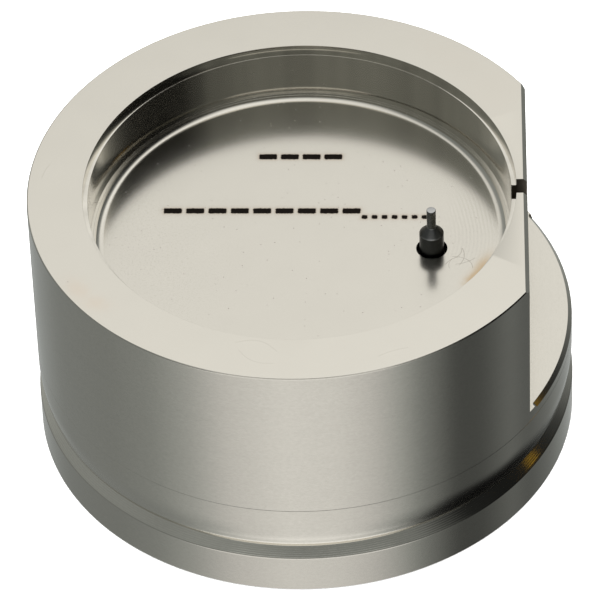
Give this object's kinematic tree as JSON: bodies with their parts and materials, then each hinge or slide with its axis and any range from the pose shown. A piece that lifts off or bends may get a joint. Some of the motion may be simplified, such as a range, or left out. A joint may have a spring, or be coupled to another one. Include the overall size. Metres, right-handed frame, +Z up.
{
  "type": "watch movement holder",
  "caption": "Round turned-steel holder with a shallow recess for a watch movement, a flat and shelf for the stem, and a stem-release pin",
  "frame": {"origin": "centre of the underside", "axes": "+Z up, along the turning axis; +X towards the flat on the stem's side"},
  "size_m": [0.033, 0.033, 0.0177],
  "materials": {
    "turned_steel": "fine turned and lapped stainless steel, satin on the walls, smoother on the flat faces",
    "blackened_steel": "blackened hardened steel with a bright ground tip",
    "screw_steel": "plain hardened screw steel"
  },
  "bodies": {
    "holder": {"movement_cup": "turned_steel", "base": "turned_steel", "cup_screw_1": "screw_steel", "cup_screw_2": "screw_steel", "cup_screw_3": "screw_steel", "dowel_pin_1": "screw_steel", "dowel_pin_2": "screw_steel"},
    "release_pin": {"stem_release_pin": "blackened_steel"},
    "height_screw": {"pin_height_screw": "screw_steel"}
  },
  "joints": [
    {"name": "pin_height", "type": "slide", "parent": "holder", "child": "release_pin", "axis": [0, 0, 1], "range_m": [-0.0003, 0.0003]},
    {"name": "height_screw_turn", "type": "hinge", "parent": "release_pin", "child": "height_screw", "pos_m": [0.00794, -0.0013, 0.0025], "axis": [0, 0, 1], "range_deg": [-154.3, 154.3]}
  ],
  "couplings": [
    {"joint": "height_screw_turn", "follows": "pin_height", "rad_per_m": 8976}
  ]
}
